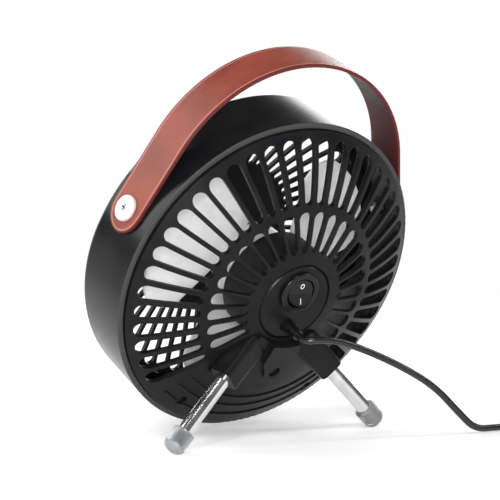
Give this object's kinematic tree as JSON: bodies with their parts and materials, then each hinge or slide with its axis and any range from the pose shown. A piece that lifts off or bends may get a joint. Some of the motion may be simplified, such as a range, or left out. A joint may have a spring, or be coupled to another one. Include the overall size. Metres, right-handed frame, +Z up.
{
  "type": "desk fan",
  "caption": "Round desk fan that leans back on splayed legs, with slotted domed grilles, a rocker switch on its hub, a leather carry strap and a thin cord with a plug.",
  "frame": {"origin": "on the floor, under the middle of the standing fan without its cord", "axes": "+Z up, -Y the way that the fan blows, +X to the left seen from behind"},
  "size_m": [0.3179, 0.1334, 0.2047],
  "materials": {
    "black_plastic": "satin black",
    "inner_black": "matt black",
    "switch_black": "glossy black",
    "rotor_white": "pale, glossy",
    "leather": "red-brown, smooth",
    "chrome": "polished",
    "silicone": "milky",
    "screw_white": "satin white",
    "screw_steel": "plain",
    "brass": "plain",
    "copper": "enamelled",
    "laminations": "plain",
    "magnet": "matt",
    "board": "lacquered",
    "cord": "satin black",
    "wire": "plain"
  },
  "bodies": {
    "stand": {"drum_shell": "black_plastic", "rear_grille": "black_plastic", "front_grille": "black_plastic", "hub_cover": "black_plastic", "switch_body": "switch_black", "rocker_pin": "screw_steel", "switch_terminals": "brass", "motor_housing": "inner_black", "motor_screws": "screw_steel", "shaft_bearings": "brass", "motor_board": "board", "stator_core": "laminations", "stator_windings": "copper", "grille_screws": "screw_steel", "carry_strap": "leather", "strap_screws": "screw_white", "strap_nuts": "brass", "stand_bracket": "black_plastic", "leg_tube_right": "chrome", "leg_tube_left": "chrome", "foot_cap_right": "silicone", "foot_cap_left": "silicone", "bracket_screw": "screw_steel", "cord_relief": "cord", "inner_leads": "wire", "cord_lead": "cord", "cord_coil": "cord", "coil_tie": "cord", "usb_plug_body": "cord", "usb_plug_shell": "screw_steel", "usb_plug_tongue": "inner_black"},
    "rotor": {"fan_rotor": "rotor_white", "rotor_shaft": "screw_steel", "rotor_ring": "screw_steel", "rotor_magnet": "magnet", "shaft_clip": "screw_steel"},
    "rocker": {"rocker": "switch_black"}
  },
  "joints": [
    {"name": "rotor_spin", "type": "hinge", "parent": "stand", "child": "rotor", "pos_m": [0, 0.00671, 0.0867], "axis": [0, 0.9235, -0.3837], "continuous": true},
    {"name": "rocker_tilt", "type": "hinge", "parent": "stand", "child": "rocker", "pos_m": [0, 0.04005, 0.07989], "axis": [-1, 0, 0], "range_deg": [0, 26]}
  ]
}
